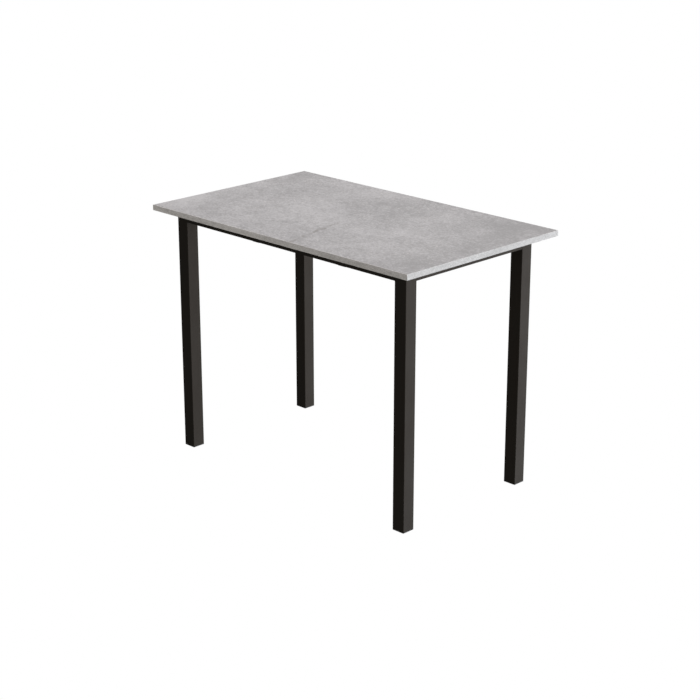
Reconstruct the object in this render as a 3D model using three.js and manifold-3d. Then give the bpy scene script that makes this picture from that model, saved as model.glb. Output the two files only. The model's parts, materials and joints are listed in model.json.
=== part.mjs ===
// Extendable dining table: a one-piece laminated top on a square-tube steel frame. Two support arms
// pull out from under the left end, and a separate leaf, stored below the frame on two hanger straps,
// is laid on them and located against the top's left edge by two dowels.
// Millimetres. X runs along the table, Y across it and Z up. The origin is on the floor, under the
// middle of the top. Front is -Y, back is +Y, left is -X and right is +X.
import * as THREE from "three";
import { mergeVertices } from "three/addons/utils/BufferGeometryUtils.js";
import Module from "manifold-3d";

const wasm = await Module();
wasm.setup();

// ---------------------------------------------------------------- driving dimensions
const TABLE = { length: 1000, width: 600, height: 740 };
const BOARD = { thick: 16, band: 1 }; // band: the edge strip's thickness
const OVERHANG = 50; // of the top past the frame's outer faces
const LEG = { side: 40, wall: 1.5, radius: 1.5 };
const APRON = { height: 30, depth: 20, wall: 1.5, radius: 1.5 };
const INSIDE_CORNER = 0.5; // the sharpest corner inside a tube, or on a plug that fits in one
const FOOT = { flange: 3, plug: 18, shell: 2.5, clearance: 0.3, chamfer: 1.5 };
const BRACKET = { reach: 34, width: 19, thick: 2.5 };
const ARM = { side: 20, wall: 1.5, radius: 2, fromLeg: 60, engaged: 280, beyondLeaf: 20 };
const ARM_CAP = { flange: 9, plug: 14, rim: 2, lip: 4, groove: 3 };
const LINER = { wall: 1.7, flange: 1.5, rim: 2.5 };
const GUIDE = { width: 25, thick: 2, foot: 14, inset: 28 };
const STRAP = { width: 25, thick: 2.5, bend: 3, spacing: 340 };
const DOWEL = { radius: 4, embed: 22, fromEnd: 100, chamfer: 1 };
const BOLT = { radius: 3, headRadius: 5.25, head: 3.3, length: 12, point: 1, socket: 2.3, socketDepth: 2 };
const WOOD_SCREW = { radius: 1.75, headRadius: 3.6, head: 2.3, cover: 4 };
const STOP_SCREW = { radius: 2.5, headRadius: 4, head: 2.6, length: 8 };

// ---------------------------------------------------------------- clearances
const FIT = 0.3; // around a piece that slides in or plugs into another
const HOLE = 0.3; // radial, around a bolt or screw
const ARM_RUN = 1; // between the stop screw and its guide with the arm fully out
const LEAF_TO_LEG = 10; // from a stored leaf's edge to the leg beside it
const DOWEL_TO_LEG = 2; // from a stored leaf's dowel tip to the leg beside it
const LEAF_TO_APRON = 2; // under the end aprons, where the leaf passes out
const LEAF_TO_STRAP = 1.5; // beside the leaf, and beside its dowels
const BRACKET_TO_EDGE = 4; // from a bracket up to the apron's lower edge
const TAB_TO_TOP = 0.5; // from a hanger's tab to the top
const DOWEL_TO_BOTTOM = 1; // from a dowel's tip to the bottom of its hole in the top
const PAST = 1; // how far a cutting block runs past the faces that it opens

// ---------------------------------------------------------------- places worked out from them
const underside = TABLE.height - BOARD.thick;
const frameX = TABLE.length / 2 - OVERHANG;
const frameY = TABLE.width / 2 - OVERHANG;
const legInnerX = frameX - LEG.side;
const legInnerY = frameY - LEG.side;
const apronInnerX = frameX - APRON.depth;
const apronInnerY = frameY - APRON.depth;
const apronBottom = underside - APRON.height;
const screwTop = TABLE.height - WOOD_SCREW.cover;

// The leaf is as wide as the top. Stored, it lies turned a quarter, its width along X.
const leafDepth = 2 * (legInnerY - LEAF_TO_LEG);
const dowelReach = LEAF_TO_LEG - DOWEL_TO_LEG;
const dowelAt = TABLE.width / 2 - DOWEL.fromEnd; // each way from the leaf's middle
const leafTop = apronBottom - LEAF_TO_APRON;
const leafBottom = leafTop - BOARD.thick;

const armY = legInnerY - ARM.fromLeg;
const armTravel = leafDepth + ARM.beyondLeaf;
const armTop = underside - FIT;
const armBottom = armTop - ARM.side;
const armOuterX = -(frameX + LINER.flange + FIT);
const armLength = ARM.engaged + armTravel;
const armInnerX = armOuterX + armLength;
const guideX = armInnerX - armTravel - GUIDE.inset; // its face towards the table's middle
const stopX = guideX + STOP_SCREW.headRadius + ARM_RUN + armTravel;

// ---------------------------------------------------------------- finishes
const finish = (colour, roughness, metalness) =>
  new THREE.MeshStandardMaterial({ color: colour, roughness, metalness });
const CONCRETE = finish(0xb1afb0, 0.55, 0);
const EDGE_BAND = finish(0xb4b2b3, 0.5, 0);
const BLACK_COAT = finish(0x1b1a18, 0.45, 0.1);
const ZINC = finish(0xb9bcbf, 0.35, 0.9);
const BLACK_PLASTIC = finish(0x141414, 0.5, 0);
const NYLON = finish(0xd9d6cc, 0.45, 0);
const BEECH = finish(0xcfa877, 0.6, 0);

// ---------------------------------------------------------------- geometry helpers
const span = (a, b) => [Math.min(a, b), Math.max(a, b)];

// A block between two X, two Y and two Z values, each pair in either order.
function block(xs, ys, zs) {
  const [x, y, z] = [span(...xs), span(...ys), span(...zs)];
  const g = new THREE.BoxGeometry(x[1] - x[0], y[1] - y[0], z[1] - z[0]);
  return g.translate((x[0] + x[1]) / 2, (y[0] + y[1]) / 2, (z[0] + z[1]) / 2);
}

// Turns a geometry made along +Z so that it runs along +X or +Y instead.
function along(axis, g) {
  if (axis === "x") g.rotateY(Math.PI / 2);
  if (axis === "y") g.rotateX(-Math.PI / 2);
  return g;
}

// A round bar along an axis, centred at a point.
function bar(axis, radius, length, at, sides = 16) {
  const g = new THREE.CylinderGeometry(radius, radius, length, sides).rotateX(Math.PI / 2);
  return along(axis, g).translate(...at);
}

// A solid of revolution about +Z from [radius, z] points that start and end on the axis.
function turned(points, sides = 20) {
  const profile = points.map(([r, z]) => new THREE.Vector2(r, z));
  return new THREE.LatheGeometry(profile, sides).rotateX(Math.PI / 2);
}

// The outline of a rectangle with rounded corners, centred on the origin.
function roundedRect(width, height, radius, Outline = THREE.Shape) {
  const [x, y, q] = [width / 2 - radius, height / 2 - radius, Math.PI / 2];
  const outline = new Outline();
  outline.absarc(x, -y, radius, -q, 0);
  outline.absarc(x, y, radius, 0, q);
  outline.absarc(-x, y, radius, q, 2 * q);
  outline.absarc(-x, -y, radius, 2 * q, 3 * q);
  outline.closePath();
  return outline;
}

// A rectangular tube along +Z from z = 0, its corners rounded outside and in.
function tube(width, height, wall, radius, length) {
  const outline = roundedRect(width, height, radius);
  outline.holes.push(
    roundedRect(width - 2 * wall, height - 2 * wall, Math.max(radius - wall, INSIDE_CORNER), THREE.Path),
  );
  return new THREE.ExtrudeGeometry(outline, { depth: length, bevelEnabled: false, curveSegments: 4 });
}

// A plate of an outline drawn in Y and Z, running along X from x.
function profileAlongX(outline, x, length) {
  const g = new THREE.ExtrudeGeometry(outline, { depth: length, bevelEnabled: false, curveSegments: 4 });
  return g.rotateX(Math.PI / 2).rotateZ(Math.PI / 2).translate(x, 0, 0);
}

function solidOf(geometry) {
  const g = geometry.clone();
  g.deleteAttribute("normal");
  g.deleteAttribute("uv");
  const merged = mergeVertices(g, 1e-4);
  return new wasm.Manifold(
    new wasm.Mesh({
      numProp: 3,
      vertProperties: new Float32Array(merged.attributes.position.array),
      triVerts: new Uint32Array(merged.index.array),
    }),
  );
}

function geometryOf(solid) {
  const { vertProperties, triVerts } = solid.getMesh();
  const g = new THREE.BufferGeometry();
  g.setAttribute("position", new THREE.BufferAttribute(new Float32Array(vertProperties), 3));
  g.setIndex(new THREE.BufferAttribute(new Uint32Array(triVerts), 1));
  const flat = g.toNonIndexed();
  flat.computeVertexNormals();
  return flat;
}

const joined = (...pieces) => geometryOf(pieces.map(solidOf).reduce((a, b) => a.add(b)));
const cut = (body, ...tools) =>
  geometryOf(tools.map(solidOf).reduce((a, b) => a.subtract(b), solidOf(body)));

const table = new THREE.Group();
function add(name, geometry, material) {
  const mesh = new THREE.Mesh(geometry, material);
  mesh.name = name;
  table.add(mesh);
  return mesh;
}

const ENDS = [["left", -1], ["right", 1]];
const SIDES = [["front", -1], ["back", 1]];
const CORNERS = SIDES.flatMap(([side, sy]) => ENDS.map(([end, sx]) => [`${side}_${end}`, sx, sy]));

// ---------------------------------------------------------------- fasteners
// A button-head bolt with a hex socket. Its head sits at the origin, its shank runs along +Z.
function buttonBolt() {
  const { radius, headRadius, head, length, point, socket, socketDepth } = BOLT;
  const body = turned([
    [0, -head],
    [0.55 * headRadius, -head],
    [0.85 * headRadius, -0.72 * head],
    [headRadius, -0.3 * head],
    [headRadius, 0],
    [radius, 0],
    [radius, length - point],
    [radius - point, length],
    [0, length],
  ]);
  return cut(body, bar("z", socket, 2 * socketDepth, [0, 0, -head], 6));
}

// A pan-head screw with its head below z = 0 and its shank along +Z.
function panScrew({ radius, headRadius, head }, length) {
  return turned([
    [0, -head],
    [0.6 * headRadius, -head],
    [headRadius, -0.45 * head],
    [headRadius, 0],
    [radius, 0],
    [radius, length - radius],
    [0, length],
  ], 16);
}

// ---------------------------------------------------------------- boards and their edge bands
// Where a screw bites into the top's underside: [x, y, z of its seat].
const topScrews = [];

function dowelHole(axis, at, length) {
  return bar(axis, DOWEL.radius + HOLE, length, at);
}

function edgeBands(prefix, halfX, halfY, zs) {
  const band = BOARD.band;
  const made = {};
  for (const [side, sy] of SIDES)
    made[`${prefix}_edge_${side}`] = block([-halfX, halfX], [sy * halfY, sy * (halfY - band)], zs);
  for (const [end, sx] of ENDS)
    made[`${prefix}_edge_${end}`] = block(
      [sx * halfX, sx * (halfX - band)],
      [-(halfY - band), halfY - band],
      zs,
    );
  return made;
}

function addTop() {
  const [halfX, halfY, band] = [TABLE.length / 2, TABLE.width / 2, BOARD.band];
  const zs = [underside, TABLE.height];
  const core = block([-(halfX - band), halfX - band], [-(halfY - band), halfY - band], zs);
  const pilots = topScrews.map(([x, y]) => {
    const top = screwTop + HOLE;
    return bar("z", WOOD_SCREW.radius + HOLE, 2 * (top - underside), [x, y, underside], 12);
  });
  const mid = (underside + TABLE.height) / 2;
  const dowelHoles = [-1, 1].map((s) =>
    dowelHole("x", [-halfX, s * dowelAt, mid], 2 * (dowelReach + DOWEL_TO_BOTTOM)));
  add("top_board", cut(core, ...pilots, ...dowelHoles), CONCRETE);
  for (const [name, strip] of Object.entries(edgeBands("top", halfX, halfY, zs)))
    add(name, name.endsWith("left") ? cut(strip, ...dowelHoles) : strip, EDGE_BAND);
}

function addLeaf() {
  const [halfX, halfY, band] = [TABLE.width / 2, leafDepth / 2, BOARD.band];
  const zs = [leafBottom, leafTop];
  const mid = (leafBottom + leafTop) / 2;
  const spots = [-dowelAt, dowelAt];
  const holes = spots.map((x) => dowelHole("y", [x, halfY, mid], 2 * (DOWEL.embed + HOLE)));
  const core = block([-(halfX - band), halfX - band], [-(halfY - band), halfY - band], zs);
  add("leaf_board", cut(core, ...holes), CONCRETE);
  for (const [name, strip] of Object.entries(edgeBands("leaf", halfX, halfY, zs)))
    add(name, name.endsWith("back") ? cut(strip, ...holes) : strip, EDGE_BAND);
  const length = DOWEL.embed + dowelReach;
  const { radius, chamfer } = DOWEL;
  spots.forEach((x, i) => {
    const dowel = turned([
      [0, 0],
      [radius - chamfer, 0],
      [radius, chamfer],
      [radius, length - chamfer],
      [radius - chamfer, length],
      [0, length],
    ]);
    along("y", dowel).translate(x, halfY - DOWEL.embed, mid);
    add(`leaf_dowel_${i + 1}`, dowel, BEECH);
  });
}

// ---------------------------------------------------------------- legs and feet
function addLegs() {
  const centreX = frameX - LEG.side / 2;
  const centreY = frameY - LEG.side / 2;
  const plugSide = LEG.side - 2 * LEG.wall - 2 * FOOT.clearance;
  const plugRadius = Math.max(LEG.radius - LEG.wall, INSIDE_CORNER);
  const wallX = legInnerX + LEG.wall / 2;
  for (const [corner, sx, sy] of CORNERS) {
    const leg = tube(LEG.side, LEG.side, LEG.wall, LEG.radius, underside - FOOT.flange);
    leg.translate(sx * centreX, sy * centreY, FOOT.flange);
    const boltHole = bar("x", BOLT.radius + HOLE, 3 * LEG.wall, [sx * wallX, sy * boltY, boltZ]);
    add(`leg_${corner}`, cut(leg, boltHole), BLACK_COAT);
    // The foot is a cap with a hollow square plug, open upwards, and a flange as wide as the tube.
    const flange = new THREE.ExtrudeGeometry(roundedRect(LEG.side, LEG.side, LEG.radius), {
      depth: FOOT.flange - FOOT.chamfer,
      bevelEnabled: true,
      bevelSegments: 1,
      bevelSize: FOOT.chamfer / 2,
      bevelOffset: -FOOT.chamfer / 2,
      bevelThickness: FOOT.chamfer / 2,
      curveSegments: 4,
    }).translate(0, 0, FOOT.chamfer / 2);
    const plug = tube(plugSide, plugSide, FOOT.shell, plugRadius, FOOT.plug);
    plug.translate(0, 0, FOOT.flange - FIT);
    const foot = joined(flange, plug).translate(sx * centreX, sy * centreY, 0);
    add(`foot_${corner}`, foot, BLACK_PLASTIC);
  }
}

// ---------------------------------------------------------------- aprons
const boltZ = underside - APRON.height / 2;
const boltY = apronInnerY - BRACKET.width / 2 - BRACKET.thick / 2;
const bracketBoltX = legInnerX - BRACKET.reach + BRACKET.width / 2 + BRACKET.thick / 2;
const bracketScrewX = legInnerX - BRACKET.reach / 2;

function addAprons() {
  const { height, depth, wall, radius } = APRON;
  const z = underside - height / 2;
  const wallY = apronInnerY + wall / 2;
  for (const [side, sy] of SIDES) {
    const apron = along("x", tube(height, depth, wall, radius, 2 * legInnerX));
    apron.translate(-legInnerX, sy * (frameY - depth / 2), z);
    const bolts = [-1, 1].flatMap((sx) =>
      [sx * bracketBoltX, (sx * STRAP.spacing) / 2].map((x) =>
        bar("y", BOLT.radius + HOLE, 3 * wall, [x, sy * wallY, boltZ])));
    add(`apron_${side}`, cut(apron, ...bolts), BLACK_COAT);
  }
  for (const [end, sx] of ENDS) {
    const apron = along("y", tube(depth, height, wall, radius, 2 * legInnerY));
    apron.translate(sx * (frameX - depth / 2), -legInnerY, z);
    const notches = end === "left" ? [-armY, armY].map(armNotch) : [];
    add(`apron_${end}`, notches.length ? cut(apron, ...notches) : apron, BLACK_COAT);
  }
}

// The opening in the left apron for an arm and its liner, open to the underside of the top.
function armNotch(y) {
  const half = ARM.side / 2 + FIT + LINER.wall + FIT;
  const bottom = armBottom - FIT - LINER.wall - FIT;
  return block([-frameX - PAST, -apronInnerX + PAST], [y - half, y + half], [bottom, underside + PAST]);
}

// ---------------------------------------------------------------- brackets that bolt the long aprons on
function addBrackets() {
  const { reach, width, thick } = BRACKET;
  const low = apronBottom + BRACKET_TO_EDGE;
  for (const [corner, sx, sy] of CORNERS) {
    const xs = [sx * legInnerX, sx * (legInnerX - reach)];
    const ys = [sy * apronInnerY, sy * (apronInnerY - width)];
    const onApron = block(xs, [ys[0], ys[0] - sy * thick], [low, underside]);
    const onLeg = block([xs[0], xs[0] - sx * thick], ys, [low, underside]);
    const underTop = block(xs, ys, [underside - thick, underside]);
    const holes = [
      bar("x", BOLT.radius + HOLE, 3 * thick, [xs[0], sy * boltY, boltZ]),
      bar("y", BOLT.radius + HOLE, 3 * thick, [sx * bracketBoltX, ys[0], boltZ]),
      bar("z", WOOD_SCREW.radius + HOLE, 3 * thick, [sx * bracketScrewX, sy * boltY, underside]),
    ];
    add(`bracket_${corner}`, cut(joined(onApron, onLeg, underTop), ...holes), ZINC);

    const legBolt = buttonBolt().rotateY((sx * Math.PI) / 2);
    legBolt.translate(sx * (legInnerX - thick), sy * boltY, boltZ);
    add(`leg_bolt_${corner}`, legBolt, ZINC);
    const apronBolt = buttonBolt().rotateX((-sy * Math.PI) / 2);
    apronBolt.translate(sx * bracketBoltX, sy * (apronInnerY - thick), boltZ);
    add(`apron_bolt_${corner}`, apronBolt, ZINC);
    const seat = underside - thick;
    const screw = panScrew(WOOD_SCREW, screwTop - seat);
    topScrews.push([sx * bracketScrewX, sy * boltY, seat]);
    add(`top_screw_${corner}`, screw.translate(sx * bracketScrewX, sy * boltY, seat), ZINC);
  }
}

// ---------------------------------------------------------------- pull-out arms
function addArms() {
  const z = armBottom + ARM.side / 2;
  for (const [side, s] of SIDES) {
    const y = s * armY;
    const arm = along("x", tube(ARM.side, ARM.side, ARM.wall, ARM.radius, armLength));
    arm.translate(armOuterX, y, z);
    const stopHole = bar("z", STOP_SCREW.radius + HOLE, 3 * ARM.wall, [stopX, y, armBottom]);
    add(`arm_${side}`, cut(arm, stopHole), ZINC);
    const stop = panScrew(STOP_SCREW, STOP_SCREW.length).translate(stopX, y, armBottom);
    add(`arm_stop_${side}`, stop, ZINC);
    addArmCap(side, y, z);
    addLiner(side, y);
    addGuide(side, y);
  }
}

// A plug with a grip flange across the arm's outer end, grooved underneath for a fingertip.
function addArmCap(side, y, z) {
  const { flange, plug, rim, lip, groove } = ARM_CAP;
  const inner = ARM.side - 2 * ARM.wall - 2 * FIT;
  // The flange is wider and lower than the arm, so that it stops against the liner's rim.
  const outline = roundedRect(ARM.side + rim, ARM.side + 2 * rim, ARM.radius);
  const face = new THREE.ExtrudeGeometry(outline, {
    depth: flange,
    bevelEnabled: false,
    curveSegments: 4,
  });
  along("x", face).translate(armOuterX - flange, y, z - rim / 2);
  const neck = block([armOuterX - FIT, armOuterX + plug], [y - inner / 2, y + inner / 2], [
    z - inner / 2,
    z + inner / 2,
  ]);
  const grooveAt = [armOuterX - flange + lip, y, armBottom - rim];
  const fingerGroove = bar("y", groove, 2 * ARM.side, grooveAt);
  add(`arm_cap_${side}`, cut(joined(face, neck), fingerGroove), BLACK_PLASTIC);
}

// The U-shaped liner that an arm slides in, with a rim on each face of the left apron.
function addLiner(side, y) {
  const inner = ARM.side / 2 + FIT;
  const outer = inner + LINER.wall;
  const floor = armBottom - FIT;
  const top = underside - FIT;
  const xs = [-frameX - LINER.flange, -apronInnerX + LINER.flange];
  const trough = block([-frameX - FIT / 2, -apronInnerX + FIT / 2], [y - outer, y + outer], [
    floor - LINER.wall,
    top,
  ]);
  const rims = [
    [-frameX - FIT / 2, xs[0]],
    [-apronInnerX + FIT / 2, xs[1]],
  ].map((x) =>
    block(x, [y - outer - LINER.rim, y + outer + LINER.rim], [floor - LINER.wall - LINER.rim, top]));
  const bore = block([xs[0] - PAST, xs[1] + PAST], [y - inner, y + inner], [floor, top + PAST]);
  add(`arm_liner_${side}`, cut(joined(trough, ...rims), bore), NYLON);
}

// The hat-shaped clip, screwed under the top, that holds an arm's inner end up.
function addGuide(side, y) {
  const { width, thick, foot } = GUIDE;
  const inner = ARM.side / 2 + FIT;
  const outer = inner + thick;
  const floor = armBottom - FIT;
  const xs = [guideX - width, guideX];
  const body = block(xs, [y - outer, y + outer], [floor - thick, underside]);
  const feet = block(xs, [y - outer - foot, y + outer + foot], [underside - thick, underside]);
  const bore = block([xs[0] - PAST, xs[1] + PAST], [y - inner, y + inner], [floor, underside + PAST]);
  const x = guideX - width / 2;
  const seat = underside - thick;
  const spots = [-1, 1].map((s) => y + s * (outer + foot / 2));
  const holes = spots.map((at) => bar("z", WOOD_SCREW.radius + HOLE, 4 * thick, [x, at, seat], 12));
  add(`arm_guide_${side}`, cut(joined(body, feet), bore, ...holes), ZINC);
  spots.forEach((at, i) => {
    topScrews.push([x, at, seat]);
    const screw = panScrew(WOOD_SCREW, screwTop - seat).translate(x, at, seat);
    add(`guide_screw_${side}_${i + 1}`, screw, ZINC);
  });
}

// ---------------------------------------------------------------- hanger straps for the stored leaf
// The strap's centre line in Y and Z, from the front apron, under the leaf, to the back apron.
function strapLine() {
  const half = STRAP.thick / 2;
  const frontWall = -(leafDepth / 2 + LEAF_TO_STRAP + half);
  const backWall = leafDepth / 2 + dowelReach + LEAF_TO_STRAP + half;
  const shelf = apronBottom + STRAP.bend + STRAP.thick;
  const bed = leafBottom - FIT - half;
  const face = apronInnerY - half;
  const top = underside - TAB_TO_TOP;
  return [
    [-face, top],
    [-face, shelf],
    [frontWall, shelf],
    [frontWall, bed],
    [backWall, bed],
    [backWall, shelf],
    [face, shelf],
    [face, top],
  ];
}

// A strip of metal of a given thickness bent along a line, as an outline.
function bentStrip(line, thick) {
  const half = thick / 2;
  const points = line.map(([y, z]) => new THREE.Vector2(y, z));
  const offset = (s) =>
    points.map((p, i) => {
      const before = points[Math.max(i - 1, 0)];
      const after = points[Math.min(i + 1, points.length - 1)];
      const a = p.clone().sub(before).normalize();
      const b = after.clone().sub(p).normalize();
      const normals = [a, b].filter((d) => d.lengthSq() > 0).map((d) => new THREE.Vector2(-d.y, d.x));
      const [n, m] = [normals[0], normals.at(-1)];
      const mitre = n.clone().add(m).divideScalar(1 + n.dot(m));
      return p.clone().addScaledVector(mitre, s * half);
    });
  return new THREE.Shape([...offset(1), ...offset(-1).reverse()]);
}

function addStraps() {
  const { width, thick, spacing } = STRAP;
  const face = apronInnerY - thick;
  for (const [end, sx] of ENDS) {
    const x = (sx * spacing) / 2;
    const strip = profileAlongX(bentStrip(strapLine(), thick), x - width / 2, width);
    const holes = SIDES.map(([, sy]) =>
      bar("y", BOLT.radius + HOLE, 4 * thick, [x, sy * face, boltZ]));
    add(`hanger_${end}`, cut(strip, ...holes), BLACK_COAT);
    for (const [side, sy] of SIDES) {
      const bolt = buttonBolt().rotateX((-sy * Math.PI) / 2).translate(x, sy * face, boltZ);
      add(`hanger_bolt_${side}_${end}`, bolt, ZINC);
    }
  }
}

addLegs();
addAprons();
addBrackets();
addArms();
addStraps();
addTop(); // last, because its screw holes follow from the brackets and guides
addLeaf();

export default table;
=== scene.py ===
"""The looks of an extendable dining table: a concrete-print top on a black powder-coated steel frame."""

import json
import math

import bmesh
import bpy
from bpy.props import FloatProperty, FloatVectorProperty, PointerProperty
from mathutils import Matrix, Vector


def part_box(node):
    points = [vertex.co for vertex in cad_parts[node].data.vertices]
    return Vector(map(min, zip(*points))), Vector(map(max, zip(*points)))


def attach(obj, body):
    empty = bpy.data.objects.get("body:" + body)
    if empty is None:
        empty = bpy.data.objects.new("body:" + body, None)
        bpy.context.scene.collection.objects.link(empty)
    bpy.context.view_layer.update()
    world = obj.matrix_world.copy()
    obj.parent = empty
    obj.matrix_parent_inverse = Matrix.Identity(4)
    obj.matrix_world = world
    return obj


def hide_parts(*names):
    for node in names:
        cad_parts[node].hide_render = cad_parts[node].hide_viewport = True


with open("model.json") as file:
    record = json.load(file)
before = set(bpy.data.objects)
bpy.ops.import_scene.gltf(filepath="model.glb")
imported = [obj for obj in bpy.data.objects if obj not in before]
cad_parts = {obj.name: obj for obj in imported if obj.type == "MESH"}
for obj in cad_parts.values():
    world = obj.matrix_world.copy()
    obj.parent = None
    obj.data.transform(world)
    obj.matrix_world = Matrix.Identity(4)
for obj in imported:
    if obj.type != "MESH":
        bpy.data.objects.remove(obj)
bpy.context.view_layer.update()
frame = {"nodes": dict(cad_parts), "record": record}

bl_info = {
    "name": "Extendable dining table",
    "version": (1, 0, 0),
    "blender": (4, 5, 0),
    "location": "3D View > Sidebar > Dining table",
    "description": "Makes the table's finished pieces around its packed frame, and the studio it stands in",
    "category": "Object",
}

MM = 0.001
EDGE_ANGLE = math.radians(35)  # a sharper fold than this is an edge, and shades as one
INSIDE_CORNER = 0.5 * MM  # the sharpest corner inside a tube, or on the plug that fits in one
# Fasteners' heads from the recess outwards: shares of the head's radius and of its height above the seat.
BUTTON_HEAD = ((0.58, 1), (0.76, 0.88), (0.9, 0.64), (0.98, 0.36), (1, 0.15), (0.985, 0))
PAN_HEAD = ((0.72, 1), (0.88, 0.86), (0.97, 0.6), (1, 0.3), (0.98, 0))
BODY_OF = {n: body for body, nodes in frame["record"]["behaviour"]["bodies"].items() for n in nodes}
ENDS = {"left": -1, "right": 1}
SIDES = {"front": -1, "back": 1}
CORNERS = {f"{side}_{end}": (sx, sy) for side, sy in SIDES.items() for end, sx in ENDS.items()}
# For a section drawn across each row axis: the axes of its two sides, and of its length.
ACROSS = {"x": (1, 2, 0), "y": (2, 0, 1), "z": (0, 1, 2)}


# ---------------------------------------------------------------- sizes and colours
def linear(hex_colour):
    """An sRGB hex colour as linear red, green, blue and alpha."""
    values = [int(hex_colour[i : i + 2], 16) / 255 for i in (0, 2, 4)]
    return (*[v / 12.92 if v <= 0.04045 else ((v + 0.055) / 1.055) ** 2.4 for v in values], 1.0)


def length(name, description, millimetres):
    return FloatProperty(name=name, description=description, default=millimetres * MM, unit="LENGTH")


def colour(name, description, hex_colour):
    return FloatVectorProperty(
        name=name, description=description, default=linear(hex_colour), subtype="COLOR", size=4, min=0, max=1
    )


class TableSizes(bpy.types.PropertyGroup):
    band_radius: length("Band radius", "Rounding of the edge bands' outer edges", 0.8)
    board_break: length("Board break", "Break of the laminate's edge beside the band", 0.12)
    leg_wall: length("Leg wall", "Wall of the leg tube", 1.5)
    leg_radius: length("Leg corner", "Outer corner radius of the leg tube", 1.5)
    apron_wall: length("Apron wall", "Wall of the apron tube", 1.5)
    apron_radius: length("Apron corner", "Outer corner radius of the apron tube", 1.5)
    arm_wall: length("Arm wall", "Wall of the support arm's tube", 1.5)
    arm_radius: length("Arm corner", "Outer corner radius of the support arm's tube", 2)
    deburr: length("Deburring", "Chamfer filed on a tube's sawn end", 0.3)
    foot_flange: length("Foot flange", "Thickness of the foot cap below the tube", 3)
    foot_shell: length("Foot shell", "Wall of the foot cap's plug", 2.5)
    foot_gap: length("Foot gap", "Gap between the foot cap's plug and the tube", 0.3)
    running_gap: length("Running gap", "Gap around a sliding piece", 0.3)
    liner_rim: length("Liner rim", "How far the arm liner's rims lap over the apron", 2.5)
    hole_radius: length("Dowel hole radius", "Radius of the holes drilled for the leaf's dowels", 4.3)
    hole_depth: length("Dowel hole depth", "Depth of the dowel holes in the top", 9)
    strap_thick: length("Strap thickness", "Thickness of the flat steel of the hangers", 2.5)
    strap_tab: length("Strap tab", "Height of the hanger's bolted tab above its shelf", 24)
    strap_gap: length("Strap gap", "Gap between the hanger and the stored leaf", 1.5)
    guide_thick: length("Guide thickness", "Thickness of the arm guide's plate", 2)
    bend_radius: length("Bend radius", "Inner radius where flat steel is bent", 2)
    bolt_head: length("Bolt head", "Height of a button head", 3.3)
    bolt_head_radius: length("Bolt head radius", "Radius of a button head", 5.25)
    bolt_radius: length("Bolt radius", "Radius of an M6 shank", 3)
    bolt_socket: length("Bolt socket", "Radius of a hex socket, to its corners", 2.3)
    bolt_socket_depth: length("Bolt socket depth", "Depth of a hex socket", 2)
    bolt_point: length("Bolt point", "Chamfer at the end of a bolt", 0.8)
    wood_screw_head: length("Wood screw head", "Height of a wood screw's pan head", 2.3)
    stop_screw_head: length("Stop screw head", "Height of an arm stop screw's pan head", 2.6)
    weld: length("Weld", "Size of the fillet welds in the end frames", 2.4)


class TableColours(bpy.types.PropertyGroup):
    concrete_dark: colour("Concrete, dark", "Darker clouds of the printed concrete", "a2a2a5")
    concrete_light: colour("Concrete, light", "Lighter clouds of the printed concrete", "c5c5c9")
    concrete_speck: colour("Concrete, speck", "Pale specks in the print", "dddbdb")
    concrete_vein: colour("Concrete, vein", "The dark vein in the print", "878482")
    vein_slant: FloatProperty(
        name="Vein slant", description="How far the vein runs right for each metre forward", default=0.24
    )
    vein_start: FloatProperty(
        name="Vein start", description="Where the vein starts, across the table", default=-0.05, unit="LENGTH"
    )
    band_dark: colour("Edge band, dark", "Darker clouds of the print on the edge bands", "bebebf")
    band_light: colour("Edge band, light", "Lighter clouds of the print on the edge bands", "e2e2e4")
    chipboard: colour("Chipboard", "Pale chips seen inside a drilled hole", "c9a877")
    chipboard_dark: colour("Chipboard, dark", "Brown chips seen inside a drilled hole", "7d5a34")
    powder_coat: colour("Powder coat", "Black coat of the steel frame", "0b0f10")
    powder_coat_thin: colour("Powder coat, thin", "The coat where it is thinner", "131312")
    powder_coat_sheen: colour("Powder coat, sheen", "Warm tint of the light that the coat reflects", "ffe9d6")
    zinc: colour("Zinc", "Zinc plating, dulled by handling", "9b9fa3")
    zinc_drift: colour("Zinc, drift", "Where its passivation shows", "9f9f96")
    polyethylene: colour("Polyethylene", "Black foot caps and arm caps", "131313")
    polyethylene_rubbed: colour("Polyethylene, rubbed", "The caps where they are rubbed", "1c1c1b")
    nylon: colour("Nylon", "Natural nylon of the arm liners", "d8d5ca")
    nylon_rubbed: colour("Nylon, rubbed", "The liners where the arm rubs", "c9c5b6")
    beech: colour("Beech", "Beech of the dowels", "d3ad7e")
    beech_ring: colour("Beech, ring", "Darker growth rings in the beech", "bd9060")
    beech_fleck: colour("Beech, fleck", "Dark ray flecks in the beech", "8f6238")


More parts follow.
